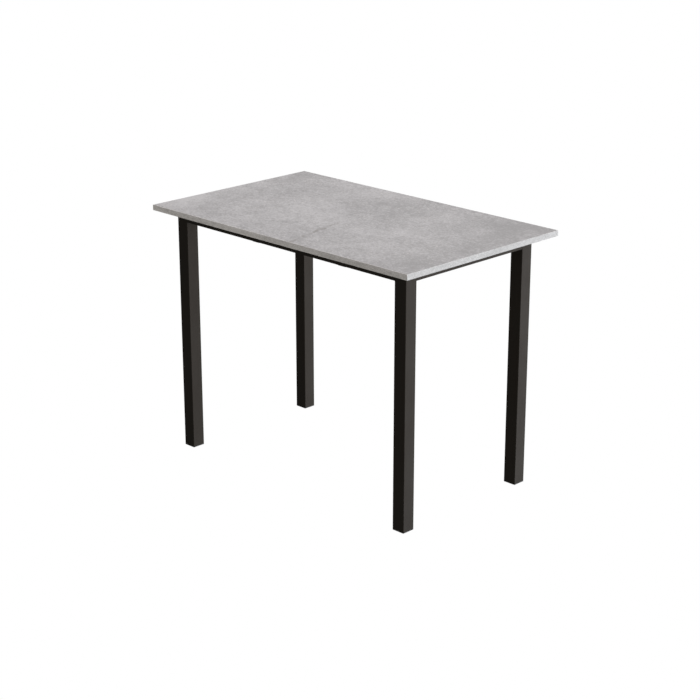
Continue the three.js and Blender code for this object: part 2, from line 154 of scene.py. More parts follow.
class StudioSettings(bpy.types.PropertyGroup):
    azimuth: FloatProperty(name="Azimuth", description="Camera's bearing, in degrees", default=44.95)
    elevation: FloatProperty(name="Elevation", description="Camera's height angle, in degrees", default=19.0)
    distance: FloatProperty(name="Distance", description="Camera to target", default=4.9814, unit="LENGTH")
    target: FloatProperty(
        name="Target", description="Height the camera looks at", default=0.3475, unit="LENGTH"
    )
    lens: FloatProperty(name="Lens", description="Focal length in millimetres", default=89.388)
    sensor: FloatProperty(name="Sensor", description="Width of the sensor in millimetres", default=36)
    floor_size: FloatProperty(name="Floor size", description="Side of the floor", default=120, unit="LENGTH")
    top: FloatProperty(name="Top light", description="Power of the overhead softbox, in watts", default=243)
    top_tint: colour("Top tint", "Colour of the overhead softbox", "fff9f4")
    top_height: FloatProperty(
        name="Top height", description="Height of the overhead softbox", default=6.4, unit="LENGTH"
    )
    top_size: FloatProperty(
        name="Top size", description="Side of the overhead softbox", default=3.5, unit="LENGTH"
    )
    focus: FloatProperty(
        name="Wall focus", description="How fast the walls dim away from their middles", default=5.0
    )
    right_wall: FloatProperty(
        name="Right wall", description="Brightness of the wall at the back right", default=2.95
    )
    right_tint: colour("Right tint", "Colour of the wall at the back right", "fdfeff")
    back_wall: FloatProperty(name="Back wall", description="Brightness of the wall at the back", default=1.1)
    back_tint: colour("Back tint", "Colour of the wall at the back", "ffffff")
    front_wall: FloatProperty(name="Front wall", description="Brightness of the wall in front", default=1.16)
    front_tint: colour("Front tint", "Colour of the wall in front", "f9f3ea")


# ---------------------------------------------------------------- shader nodes
def add_node(tree, kind, inputs=None, **settings):
    """Adds a shader node. inputs gives values, or other nodes' output sockets, by input name or number."""
    node = tree.nodes.new("ShaderNode" + kind)
    for name, value in settings.items():
        setattr(node, name, value)
    for key, value in (inputs or {}).items():
        if isinstance(value, bpy.types.NodeSocket):
            tree.links.new(value, node.inputs[key])
        else:
            node.inputs[key].default_value = value
    return node


def per(millimetres):
    """The texture scale whose pattern repeats about once in that many millimetres."""
    return 1 / (millimetres * MM)


def new_material(name, base, roughness, metallic=0.0, ior=1.5):
    """A material with a Principled shader, as (material, node tree, shader)."""
    material = bpy.data.materials.new(name)
    material.use_nodes = True
    tree = material.node_tree
    shader = tree.nodes["Principled BSDF"]
    shader.inputs["Base Color"].default_value = base
    shader.inputs["Roughness"].default_value = roughness
    shader.inputs["Metallic"].default_value = metallic
    shader.inputs["IOR"].default_value = ior
    return material, tree, shader


def position(tree, turn=0.0, stretch=(1, 1, 1)):
    """The point on the piece in metres, turned about Z and stretched."""
    point = add_node(tree, "TexCoord").outputs["Object"]
    mapping = add_node(tree, "Mapping", {"Vector": point, "Scale": stretch})
    mapping.inputs["Rotation"].default_value[2] = math.radians(turn)
    return mapping.outputs["Vector"]


def noise(tree, vector, millimetres, detail=2.0, roughness=0.5, distortion=0.0):
    """Noise with features of about that size."""
    made = add_node(
        tree,
        "TexNoise",
        {
            "Vector": vector,
            "Scale": per(millimetres),
            "Detail": detail,
            "Roughness": roughness,
            "Distortion": distortion,
        },
    )
    return made.outputs["Fac"]


def remap(tree, value, low, high, to_low=0.0, to_high=1.0, smooth=False):
    """Takes low to high of a value to to_low to to_high, held at both ends."""
    kind = "SMOOTHSTEP" if smooth else "LINEAR"
    inputs = {0: value, 1: low, 2: high, 3: to_low, 4: to_high}
    return add_node(tree, "MapRange", inputs, interpolation_type=kind).outputs[0]


def calculate(tree, operation, a, b=0.0):
    return add_node(tree, "Math", {0: a, 1: b}, operation=operation).outputs[0]


def mix(tree, factor, a, b):
    """One colour over another."""
    inputs = {"Factor": factor, 6: a, 7: b}
    return add_node(tree, "Mix", inputs, data_type="RGBA").outputs[2]


def bump(tree, shader, height, strength, millimetres):
    """Gives the surface a relief of that depth."""
    inputs = {"Height": height, "Strength": strength, "Distance": millimetres * MM}
    made = add_node(tree, "Bump", inputs)
    tree.links.new(made.outputs["Normal"], shader.inputs["Normal"])


# ---------------------------------------------------------------- materials
def layered(tree, point, layers):
    """A tone about 0.5 from layers of noise, each as (size in millimetres, weight)."""
    tone = 0.5
    for millimetres, weight in layers:
        layer = noise(tree, point, millimetres, detail=1.5, roughness=0.6)
        centred = calculate(tree, "SUBTRACT", layer, 0.5)
        tone = calculate(tree, "ADD", calculate(tree, "MULTIPLY", centred, weight), tone)
    return tone


def vein(tree, point, settings):
    """How near a point is to the print's one dark vein, 1 on it and 0 off it."""
    axes = add_node(tree, "SeparateXYZ", {0: point})
    wander = remap(tree, noise(tree, point, 30, detail=2), 0.3, 0.7, -5 * MM, 5 * MM)
    slant = calculate(tree, "MULTIPLY", axes.outputs["Y"], -settings.vein_slant)
    across = calculate(tree, "SUBTRACT", axes.outputs["X"], calculate(tree, "ADD", slant, wander))
    near = remap(tree, calculate(tree, "ABSOLUTE", across), 2 * MM, 8 * MM, 1, 0, smooth=True)
    long = remap(tree, axes.outputs["Y"], settings.vein_start, settings.vein_start - 40 * MM, smooth=True)
    broken = remap(tree, noise(tree, point, 25), 0.36, 0.5)
    return calculate(tree, "MULTIPLY", near, calculate(tree, "MULTIPLY", long, broken))


def concrete_print(tree, point, dark, light, colours):
    """The printed decor of cast concrete as (colour, tone): soft clouds of 50 to 320 mm, grit of 5 to 20 mm,
    pale specks where the cement bled and faint strokes of the trowel, on a tone lighter towards the left end."""
    tone = layered(tree, point, ((320, 0.78), (120, 0.32), (50, 0.3), (22, 0.42), (10, 0.6), (4.5, 1.2)))
    # The tone grows lighter towards the left end of the table and darker towards the right, by up to 0.08
    # each way.
    lighter_leftwards = remap(tree, add_node(tree, "SeparateXYZ", {0: point}).outputs["X"], -0.5, 0.5, 0.08, -0.08)
    tone = remap(tree, calculate(tree, "ADD", tone, lighter_leftwards), 0.25, 0.75)
    strokes = noise(tree, position(tree, turn=35, stretch=(0.06, 1, 1)), 5, detail=1)
    patches = remap(tree, noise(tree, point, 110), 0.5, 0.65)
    stroked = calculate(tree, "MULTIPLY", remap(tree, strokes, 0.6, 0.75, 0, 0.3), patches)
    specks = remap(tree, noise(tree, point, 8, detail=1), 0.65, 0.74)
    bled = remap(tree, noise(tree, point, 170, detail=1), 0.44, 0.6, 0, 0.55)
    made = mix(tree, tone, dark, light)
    made = mix(tree, stroked, made, colours.concrete_speck)
    made = mix(tree, calculate(tree, "MULTIPLY", specks, bled), made, colours.concrete_speck)
    return made, tone


def concrete_laminate(colours):
    """Melamine-faced chipboard printed with concrete: matt, a little glossier where the print is dark, with
    the fine tooth of the press plate."""
    material, tree, shader = new_material("concrete_print_melamine", colours.concrete_light, 0.5)
    point = position(tree)
    made, tone = concrete_print(tree, point, colours.concrete_dark, colours.concrete_light, colours)
    veined = calculate(tree, "MULTIPLY", vein(tree, point, colours), 0.6)
    tree.links.new(mix(tree, veined, made, colours.concrete_vein), shader.inputs["Base Color"])
    tree.links.new(remap(tree, tone, 0, 1, 0.46, 0.56), shader.inputs["Roughness"])
    # The press plate's tooth is 0.3 mm wide; it is drawn at 1 mm so that it shows.
    bump(tree, shader, noise(tree, point, 1, detail=2), 0.15, 0.03)
    return material


def abs_edge_band(colours):
    """Extruded ABS edge band printed to match the board: smoother than the laminate, its print drawn out
    along the band, with faint rollers' marks."""
    material, tree, shader = new_material("concrete_print_abs_band", colours.band_light, 0.45, ior=1.54)
    point = position(tree, stretch=(1, 1, 3))
    made, tone = concrete_print(tree, point, colours.band_dark, colours.band_light, colours)
    tree.links.new(made, shader.inputs["Base Color"])
    tree.links.new(remap(tree, tone, 0, 1, 0.4, 0.5), shader.inputs["Roughness"])
    bump(tree, shader, noise(tree, position(tree, stretch=(0.1, 0.1, 1)), 2, detail=1), 0.15, 0.03)
    return material


def powder_coated_steel(colours):
    """Polyester powder coat baked on steel: near-black, with a fine orange peel that breaks up its sheen, and
    slow changes of gloss where the coat is thicker."""
    material, tree, shader = new_material("black_powder_coat", colours.powder_coat, 0.5)
    shader.inputs["Specular IOR Level"].default_value = 0.27
    shader.inputs["Specular Tint"].default_value = colours.powder_coat_sheen
    point = position(tree)
    thickness = calculate(tree, "MULTIPLY", noise(tree, point, 90, detail=3), 0.6)
    speckle = calculate(tree, "MULTIPLY", noise(tree, point, 4, detail=2), 0.4)
    film = calculate(tree, "ADD", thickness, speckle)
    made = mix(tree, remap(tree, film, 0.35, 0.65), colours.powder_coat, colours.powder_coat_thin)
    tree.links.new(made, shader.inputs["Base Color"])
    tree.links.new(remap(tree, film, 0.35, 0.65, 0.46, 0.54), shader.inputs["Roughness"])
    # The real peel repeats every 0.5 mm; it is drawn at 1.5 mm so that it shows.
    bump(tree, shader, noise(tree, point, 1.5, detail=2), 0.25, 0.05)
    return material


def zinc_plated_steel(colours):
    """Drawn or pressed steel with zinc plating: a cool grey metal with fine lengthwise draw lines, and the
    faint bluish and yellowish drifts of its passivation."""
    material, tree, shader = new_material("bright_zinc_plate", colours.zinc, 0.32, metallic=1.0)
    lines = noise(tree, position(tree, stretch=(0.04, 1, 1)), 1.2, detail=3)
    drift = remap(tree, noise(tree, position(tree), 35, detail=2), 0.35, 0.65)
    tree.links.new(mix(tree, drift, colours.zinc, colours.zinc_drift), shader.inputs["Base Color"])
    tree.links.new(remap(tree, lines, 0.3, 0.7, 0.26, 0.42), shader.inputs["Roughness"])
    bump(tree, shader, lines, 0.15, 0.03)
    return material


def moulded_polyethylene(colours):
    """Injection-moulded black polyethylene: a soft, slightly waxy sheen over a spark-eroded grain, greyer
    where it has been rubbed."""
    name, base = "moulded_black_polyethylene", colours.polyethylene
    material, tree, shader = new_material(name, base, 0.48, ior=1.51)
    point = position(tree)
    rubbed = remap(tree, noise(tree, point, 12, detail=3), 0.45, 0.75)
    tree.links.new(mix(tree, rubbed, base, colours.polyethylene_rubbed), shader.inputs["Base Color"])
    tree.links.new(remap(tree, rubbed, 0, 1, 0.44, 0.56), shader.inputs["Roughness"])
    bump(tree, shader, noise(tree, point, 0.8, detail=2), 0.2, 0.04)
    return material


def moulded_nylon(colours):
    """Natural nylon: off-white and faintly translucent, polished in long streaks where the arm rubs."""
    material, tree, shader = new_material("moulded_natural_nylon", colours.nylon, 0.38, ior=1.53)
    shader.inputs["Subsurface Weight"].default_value = 0.15
    shader.inputs["Subsurface Radius"].default_value = (2 * MM, 1.6 * MM, 1.2 * MM)
    rubbed = noise(tree, position(tree, stretch=(0.1, 1, 1)), 2, detail=2)
    made = mix(tree, remap(tree, rubbed, 0.4, 0.7), colours.nylon, colours.nylon_rubbed)
    tree.links.new(made, shader.inputs["Base Color"])
    tree.links.new(remap(tree, rubbed, 0.35, 0.65, 0.45, 0.3), shader.inputs["Roughness"])
    return material


def turned_beech(colours):
    """Unfinished turned beech: pale pinkish brown, with growth rings drawn out along the peg and short dark
    ray flecks of 2 to 3 mm."""
    material, tree, shader = new_material("turned_beech", colours.beech, 0.62)
    rings = noise(tree, position(tree, stretch=(1, 0.05, 1)), 2.5, detail=2)
    flecks = noise(tree, position(tree, stretch=(1, 0.25, 1)), 0.7, detail=1)
    made = mix(tree, remap(tree, rings, 0.35, 0.65), colours.beech, colours.beech_ring)
    made = mix(tree, remap(tree, flecks, 0.62, 0.7, 0, 0.6), made, colours.beech_fleck)
    tree.links.new(made, shader.inputs["Base Color"])
    tree.links.new(remap(tree, rings, 0.3, 0.7, 0.56, 0.68), shader.inputs["Roughness"])
    bump(tree, shader, rings, 0.3, 0.05)
    return material


def chipboard_core(colours):
    """The board's core where a drill has gone through it: pale and brown chips of 1 to 3 mm, dead matt and
    rough."""
    material, tree, shader = new_material("chipboard_core", colours.chipboard, 0.9)
    chips = add_node(tree, "TexVoronoi", {"Vector": position(tree, stretch=(1, 1, 2)), "Scale": per(2)})
    made = mix(tree, chips.outputs["Color"], colours.chipboard, colours.chipboard_dark)
    tree.links.new(made, shader.inputs["Base Color"])
    bump(tree, shader, chips.outputs["Distance"], 0.6, 0.4)
    return material


# ---------------------------------------------------------------- mesh building
def to_object(name, bm, material):
    """A mesh object from a bmesh, smooth except at real edges."""
    bmesh.ops.recalc_face_normals(bm, faces=bm.faces)
    mesh = bpy.data.meshes.new(name)
    bm.to_mesh(mesh)
    bm.free()
    mesh.materials.append(material)
    mesh.shade_smooth()
    mesh.set_sharp_from_angle(angle=EDGE_ANGLE)
    piece = bpy.data.objects.new(name, mesh)
    bpy.context.scene.collection.objects.link(piece)
    return piece


def keep_flats_flat(piece):
    """Weights the normals by face area, so that a flat face beside a rounding shades flat."""
    modifier = piece.modifiers.new("flat_faces", "WEIGHTED_NORMAL")
    modifier.keep_sharp = True


def stand_for(piece, node):
    """Puts a finished piece in a CAD node's place: on the node's body, with the node hidden."""
    keep_flats_flat(piece)
    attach(piece, BODY_OF[node])
    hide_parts(node)


def refine_node(node, material, radius):
    """Keeps a CAD node's own shape, with its sharp edges broken and a real finish."""
    piece = frame["nodes"][node]
    piece.data.materials.clear()
    piece.data.materials.append(material)
    modifier = piece.modifiers.new("broken_edges", "BEVEL")
    modifier.width = radius
    modifier.segments = 2
    modifier.limit_method = "ANGLE"
    modifier.angle_limit = EDGE_ANGLE
    modifier.harden_normals = True


def skin(rings, closed=False):
    """A bmesh over rings of equally many points. closed joins the last ring to the first; otherwise both are
    capped."""
    bm = bmesh.new()
    loops = [[bm.verts.new(point) for point in ring] for ring in rings]
    pairs = list(zip(loops, loops[1:]))
    if closed:
        pairs.append((loops[-1], loops[0]))
    count = len(loops[0])
    for a, b in pairs:
        for i in range(count):
            j = (i + 1) % count
            bm.faces.new((a[i], a[j], b[j], b[i]))
    if not closed:
        bm.faces.new(loops[0][::-1])
        bm.faces.new(loops[-1])
    return bm


def rounded_section(width, height, radius, steps=6):
    """A rectangle with round corners about the origin, anticlockwise."""
    points = []
    for quarter, (su, sv) in enumerate(((1, -1), (1, 1), (-1, 1), (-1, -1))):
        u, v = su * (width / 2 - radius), sv * (height / 2 - radius)
        for step in range(steps + 1):
            angle = (quarter - 1 + step / steps) * math.pi / 2
            points.append((u + radius * math.cos(angle), v + radius * math.sin(angle)))
    return points


def placed(axis, centre, section, station):
    """A section's points in the row frame, at a station along an axis."""
    u, v, w = ACROSS[axis]
    ring = []
    for a, b in section:
        point = Vector(centre)
        point[u] += a
        point[v] += b
        point[w] = station
        ring.append(point)
    return ring


def tube(name, node, axis, wall, radius, deburr, material):
    """A rectangular steel tube over a CAD node's box, hollow, with its sawn ends deburred."""
    lo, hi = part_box(node)
    u, v, w = ACROSS[axis]
    width, height = hi[u] - lo[u], hi[v] - lo[v]
    outer = rounded_section(width, height, radius)
    filed = rounded_section(width - 2 * deburr, height - 2 * deburr, radius - deburr)
    inner = rounded_section(width - 2 * wall, height - 2 * wall, max(radius - wall, INSIDE_CORNER))
    centre = (lo + hi) / 2
    stations = [
        (filed, lo[w]),
        (outer, lo[w] + deburr),
        (outer, hi[w] - deburr),
        (filed, hi[w]),
        (inner, hi[w]),
        (inner, lo[w]),
    ]
    rings = [placed(axis, centre, section, station) for section, station in stations]
    return to_object(name, skin(rings, closed=True), material)


def slab(name, lo, hi, radius, material, edges=None):
    """A box between two corners. edges says which of its edges are rounded; without it they all are."""
    bm = bmesh.new()
    size, middle = hi - lo, (lo + hi) / 2
    matrix = Matrix.Translation(middle) @ Matrix.Diagonal((*size, 1))
    bmesh.ops.create_cube(bm, size=1, matrix=matrix)
    chosen = [e for e in bm.edges if edges is None or edges(e)]
    bmesh.ops.bevel(bm, geom=chosen, offset=radius, segments=3, profile=0.5, affect="EDGES")
    return to_object(name, bm, material)


def pierce(piece, axis, centres, radius, depth, material):
    """Drills round holes of that depth, each side of the centres, and lines them with a material."""
    bm = bmesh.new()
    turn = {"x": Matrix.Rotation(math.pi / 2, 4, "Y"), "y": Matrix.Rotation(math.pi / 2, 4, "X")}[axis]
    for centre in centres:
        bmesh.ops.create_cone(
            bm,
            cap_ends=True,
            segments=40,
            radius1=radius,
            radius2=radius,
            depth=2 * depth,
            matrix=Matrix.Translation(centre) @ turn,
        )
    cut_out(piece, to_object("drill", bm, material))


def cut_out(piece, cutter):
    """Takes a cutter out of a piece, and removes the cutter."""
    modifier = piece.modifiers.new("cut", "BOOLEAN")
    modifier.operation = "DIFFERENCE"
    modifier.solver = "EXACT"
    modifier.material_mode = "TRANSFER"
    modifier.object = cutter
    bpy.context.view_layer.update()
    cut = bpy.data.meshes.new_from_object(piece.evaluated_get(bpy.context.evaluated_depsgraph_get()))
    piece.modifiers.clear()
    piece.data = cut
    bpy.data.objects.remove(cutter)


def turned(name, stations, matrix, material, segments=48):
    """A turned piece about +Z, moved by matrix. A station is (radius, height), or (outline, height) where
    outline gives the radius at each angle."""
    rings = []
    for radius, height in stations:
        ring = []
        for i in range(segments):
            angle = 2 * math.pi * i / segments
            r = radius(angle) if callable(radius) else radius
            ring.append(matrix @ Vector((r * math.cos(angle), r * math.sin(angle), height)))
        rings.append(ring)
    return to_object(name, skin(rings), material)


def hexagon(across_corners):
    """The outline of a hex socket."""
    flat = across_corners * math.cos(math.pi / 6)
    return lambda angle: flat / math.cos((angle % (math.pi / 3)) - math.pi / 6)


def cross(arm, half_width):
    """The outline of a cross recess."""

    def radius(angle):
        off = abs((angle + math.pi / 4) % (math.pi / 2) - math.pi / 4)
        return arm / math.cos(off) if math.tan(off) < half_width / arm else half_width / math.sin(off)

    return radius


def bent_line(points, radius, steps=6):
    """A line in two dimensions with each inner corner turned into an arc."""
    made = [Vector(points[0])]
    for before, corner, after in zip(points, points[1:], points[2:]):
        corner = Vector(corner)
        a, b = (Vector(before) - corner).normalized(), (Vector(after) - corner).normalized()
        half = math.acos(max(-1, min(1, a.dot(b)))) / 2
        centre = corner + (a + b).normalized() * radius / math.sin(half)
        start = corner + a * radius / math.tan(half) - centre
        end = corner + b * radius / math.tan(half) - centre
        sweep = start.angle_signed(end)
        for step in range(steps + 1):
            made.append(centre + Matrix.Rotation(-sweep * step / steps, 2) @ start)
    made.append(Vector(points[-1]))
    return made


def strip_outline(line, half, trim):
    """The outline of a strip about a line: up one side of it and back down the other."""
    line = [p.copy() for p in line]
    line[0] += (line[1] - line[0]).normalized() * trim
    line[-1] += (line[-2] - line[-1]).normalized() * trim
    sides = ([], [])
    for i, point in enumerate(line):
        before, after = line[max(i - 1, 0)], line[min(i + 1, len(line) - 1)]
        along = (after - before).normalized()
        normal = Vector((-along.y, along.x))
        sides[0].append(point + normal * (half - trim))
        sides[1].append(point - normal * (half - trim))
    return sides[0] + sides[1][::-1]


def bent_strip(name, points, thickness, bend, xs, material, trim=0.25 * MM):
    """Flat steel bent along a line of (y, z) points and as wide as xs, its long edges broken."""
    line = bent_line(points, bend + thickness / 2)
    outer, broken = (strip_outline(line, thickness / 2, inset) for inset in (0.0, trim))
    lo, hi = min(xs), max(xs)
    stations = [(broken, lo), (outer, lo + trim), (outer, hi - trim), (broken, hi)]
    rings = [[Vector((x, y, z)) for y, z in outline] for outline, x in stations]
    return to_object(name, skin(rings), material)


# ---------------------------------------------------------------- boards
def make_board(prefix, sizes, materials):
    """A laminated board and its four edge bands."""
    lo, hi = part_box(f"{prefix}_board")
    board = slab(f"{prefix}_panel", lo, hi, sizes.board_break, materials["concrete"])
    bands = {}
    for sides, axis in ((SIDES, 1), (ENDS, 0)):
        for side, sign in sides.items():
            node = f"{prefix}_edge_{side}"
            bands[node] = make_band(node, axis, sign, sizes, materials["band"])
    return board, bands


def make_band(node, axis, sign, sizes, material):
    """One edge band, rounded along its outer edges. The front and back bands cover the others' ends."""
    lo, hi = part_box(node)
    face = hi[axis] if sign > 0 else lo[axis]
    covers_ends = axis == 1

    def outer_edge(edge):
        on_face = all(abs(v.co[axis] - face) < MM / 10 for v in edge.verts)
        upright = abs(edge.verts[0].co.z - edge.verts[1].co.z) > MM
        return on_face and (covers_ends or not upright)

    return slab(f"{node}_band", lo, hi, sizes.band_radius, material, outer_edge)


class MakeTop(bpy.types.Operator):
    """Makes the laminated top with its edge bands and the two dowel holes in its left edge"""

    bl_idname = "dining_table.make_top"
    bl_label = "Make top"

    def execute(self, context):
        sizes, materials = context.scene.table_sizes, finishes(context)
        board, bands = make_board("top", sizes, materials)
        dowels = [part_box(f"leaf_dowel_{i}") for i in (1, 2)]
        lo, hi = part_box("top_edge_left")
        centres = [Vector((lo.x, (a.x + b.x) / 2, (lo.z + hi.z) / 2)) for a, b in dowels]
        for piece in (board, bands["top_edge_left"]):
            pierce(piece, "x", centres, sizes.hole_radius, sizes.hole_depth, materials["chipboard"])
        stand_for(board, "top_board")
        for node, band in bands.items():
            stand_for(band, node)
        return {"FINISHED"}


class MakeLeaf(bpy.types.Operator):
    """Makes the extension leaf, stored below the frame, and its two beech dowels"""

    bl_idname = "dining_table.make_leaf"
    bl_label = "Make leaf"

    def execute(self, context):
        sizes, materials = context.scene.table_sizes, finishes(context)
        board, bands = make_board("leaf", sizes, materials)
        boxes = [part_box(f"leaf_dowel_{i}") for i in (1, 2)]
        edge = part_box("leaf_edge_back")[1].y
        centres = [Vector(((lo.x + hi.x) / 2, edge, (lo.z + hi.z) / 2)) for lo, hi in boxes]
        depth = edge - boxes[0][0].y + sizes.running_gap
        for piece in (board, bands["leaf_edge_back"]):
            pierce(piece, "y", centres, sizes.hole_radius, depth, materials["chipboard"])
        stand_for(board, "leaf_board")
        for node, band in bands.items():
            stand_for(band, node)
        for i, (lo, hi) in enumerate(boxes, 1):
            stand_for(make_dowel(f"leaf_dowel_{i}", lo, hi, materials["beech"]), f"leaf_dowel_{i}")
        return {"FINISHED"}


def make_dowel(node, lo, hi, material, flutes=12, flute_depth=0.35 * MM, chamfer=1 * MM):
    """A fluted dowel peg along Y."""
    radius, long = (hi.x - lo.x) / 2, hi.y - lo.y

    def fluted(r):
        return lambda angle: r - flute_depth * max(0.0, math.cos(flutes * angle)) ** 4

    stations = [
        (radius - chamfer, 0),
        (fluted(radius), chamfer),
        (fluted(radius), long - chamfer),
        (radius - chamfer, long),
    ]
    start = Matrix.Translation(((lo.x + hi.x) / 2, lo.y, (lo.z + hi.z) / 2))
    matrix = start @ Matrix.Rotation(-math.pi / 2, 4, "X")
    return turned(f"{node}_peg", stations, matrix, material, segments=96)


# ---------------------------------------------------------------- frame
class MakeLegs(bpy.types.Operator):
    """Makes the four square-tube legs and their plastic foot caps"""

    bl_idname = "dining_table.make_legs"
    bl_label = "Make legs"

    def execute(self, context):
        sizes, materials = context.scene.table_sizes, finishes(context)
        wall, radius = sizes.leg_wall, sizes.leg_radius
        for corner in CORNERS:
            node = f"leg_{corner}"
            leg = tube(f"{node}_tube", node, "z", wall, radius, sizes.deburr, materials["coat"])
            stand_for(leg, node)
            stand_for(make_foot(f"foot_{corner}", sizes, materials["polyethylene"]), f"foot_{corner}")
        return {"FINISHED"}


def make_foot(node, sizes, material):
    """A foot cap: a flange under the tube, eased at the floor, and a hollow plug inside the tube."""
    lo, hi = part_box(node)
    centre, side = (lo + hi) / 2, hi.x - lo.x
    ease, lip = 0.8 * MM, 0.25 * MM
    plug = side - 2 * (sizes.leg_wall + sizes.foot_gap)
    hollow = plug - 2 * sizes.foot_shell
    shoulder = lo.z + sizes.foot_flange
    radius = sizes.leg_radius
    plug_radius = max(radius - sizes.leg_wall, INSIDE_CORNER)
    stations = [
        (side - 2 * ease, max(radius - ease, INSIDE_CORNER), lo.z),
        (side - 0.6 * ease, radius - 0.3 * ease, lo.z + 0.3 * ease),
        (side, radius, lo.z + ease),
        (side, radius, shoulder - lip),
        (side - 2 * lip, radius - lip, shoulder),
        (plug, plug_radius, shoulder),
        (plug, plug_radius, hi.z - ease),
        (plug - 2 * ease, INSIDE_CORNER, hi.z),
        (hollow, INSIDE_CORNER, hi.z),
        (hollow, INSIDE_CORNER, shoulder),
    ]
    rings = [placed("z", centre, rounded_section(s, s, r), z) for s, r, z in stations]
    return to_object(f"{node}_cap", skin(rings), material)


class MakeAprons(bpy.types.Operator):
    """Makes the four apron tubes, and the welds that join the end aprons to their legs"""

    bl_idname = "dining_table.make_aprons"
    bl_label = "Make aprons"

    def execute(self, context):
        sizes, materials = context.scene.table_sizes, finishes(context)
        wall, radius = sizes.apron_wall, sizes.apron_radius
        for sides, axis in ((SIDES, "x"), (ENDS, "y")):
            for side in sides:
                node = f"apron_{side}"
                apron = tube(f"{node}_tube", node, axis, wall, radius, sizes.deburr, materials["coat"])
                if side == "left":
                    notch_for_arms(apron, sizes, materials["coat"])
                stand_for(apron, node)
        for end, sign in ENDS.items():
            make_end_welds(end, sign, sizes, materials["coat"])
        return {"FINISHED"}


def notch_for_arms(apron, sizes, material):
    """Saws the two openings, for an arm and its liner, out of the left apron's top."""
    for side in SIDES:
        lo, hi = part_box(f"arm_liner_{side}")
        trim = Vector((0, sizes.liner_rim - sizes.running_gap, sizes.liner_rim - sizes.running_gap))
        past, above = Vector((10 * MM, 0, 0)), Vector((0, 0, 5 * MM))
        start, stop = lo + trim - past, hi - Vector((0, trim.y, 0)) + above + past
        cut_out(apron, slab("saw", start, stop, sizes.deburr, material))


def make_end_welds(end, sign, sizes, material):
    """Fillet welds in the inner corner and along the bottom, where an end apron meets each leg."""
    lo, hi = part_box(f"apron_{end}")
    inner = lo.x if sign > 0 else hi.x
    outer = hi.x if sign > 0 else lo.x
    inset = sizes.weld / 2
    for side, sy in SIDES.items():
        y = hi.y if sy > 0 else lo.y
        lines = {
            "inner": (Vector((inner, y, lo.z + inset)), Vector((inner, y, hi.z - 2 * inset))),
            "under": (Vector((inner, y, lo.z)), Vector((outer - sign * 3 * inset, y, lo.z))),
        }
        for place, (start, stop) in lines.items():
            bead = weld_bead(f"weld_{side}_{end}_{place}", start, stop, sizes.weld, material)
            keep_flats_flat(bead)
            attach(bead, BODY_OF[f"apron_{end}"])


def weld_bead(name, start, stop, size, material, ripple=1.6 * MM, sides=12):
    """A bead along a line, swollen once in each ripple as the weld pool froze."""
    long = (stop - start).length
    steps = max(8, round(long / ripple * 4))
    turn = (stop - start).to_track_quat("Z", "X").to_matrix().to_4x4()
    matrix = Matrix.Translation(start) @ turn
    stations = []
    for i in range(steps + 1):
        along = long * i / steps
        closing = math.sqrt(max(0.0, 1 - (2 * i / steps - 1) ** 8))
        swell = 1 + 0.12 * abs(math.sin(math.pi * along / ripple))
        stations.append((max(0.25 * size, size * swell * closing), along))
    return turned(name, stations, matrix, material, segments=sides)


# ---------------------------------------------------------------- pull-out arms and hangers
class MakeArms(bpy.types.Operator):
    """Makes the two support arms with their caps, liners and guides"""

    bl_idname = "dining_table.make_arms"
    bl_label = "Make arms"

    def execute(self, context):
        sizes, materials = context.scene.table_sizes, finishes(context)
        wall, radius = sizes.arm_wall, sizes.arm_radius
        for side in SIDES:
            node = f"arm_{side}"
            arm = tube(f"{node}_tube", node, "x", wall, radius, sizes.deburr, materials["zinc"])
            stand_for(arm, node)
            stand_for(make_guide(side, sizes, materials["zinc"]), f"arm_guide_{side}")
            refine_node(f"arm_cap_{side}", materials["polyethylene"], 0.6 * MM)
            refine_node(f"arm_liner_{side}", materials["nylon"], 0.3 * MM)
        return {"FINISHED"}


def make_guide(side, sizes, material):
    """The hat-shaped clip that holds an arm's inner end up to the top."""
    lo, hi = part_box(f"arm_guide_{side}")
    arm_lo, arm_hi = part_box(f"arm_{side}")
    half = sizes.guide_thick / 2
    front, back = arm_lo.y - sizes.running_gap - half, arm_hi.y + sizes.running_gap + half
    top, floor = hi.z - half, lo.z + half
    line = [(lo.y, top), (front, top), (front, floor), (back, floor), (back, top), (hi.y, top)]
    bend = 0.6 * MM
    return bent_strip(f"arm_guide_{side}_clip", line, sizes.guide_thick, bend, (lo.x, hi.x), material)


class MakeHangers(bpy.types.Operator):
    """Makes the two flat-steel hangers that the leaf is stored on"""

    bl_idname = "dining_table.make_hangers"
    bl_label = "Make hangers"

    def execute(self, context):
        sizes, materials = context.scene.table_sizes, finishes(context)
        half = sizes.strap_thick / 2
        for end in ENDS:
            node = f"hanger_{end}"
            lo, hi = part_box(node)
            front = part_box("leaf_edge_front")[0].y - sizes.strap_gap - half
            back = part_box("leaf_dowel_1")[1].y + sizes.strap_gap + half
            shelf, bed = hi.z - sizes.strap_tab, lo.z + half
            line = [
                (lo.y + half, hi.z),
                (lo.y + half, shelf),
                (front, shelf),
                (front, bed),
                (back, bed),
                (back, shelf),
                (hi.y - half, shelf),
                (hi.y - half, hi.z),
            ]
            strap = bent_strip(
                f"{node}_strap", line, sizes.strap_thick, sizes.bend_radius, (lo.x, hi.x), materials["coat"]
            )
            stand_for(strap, node)
        return {"FINISHED"}


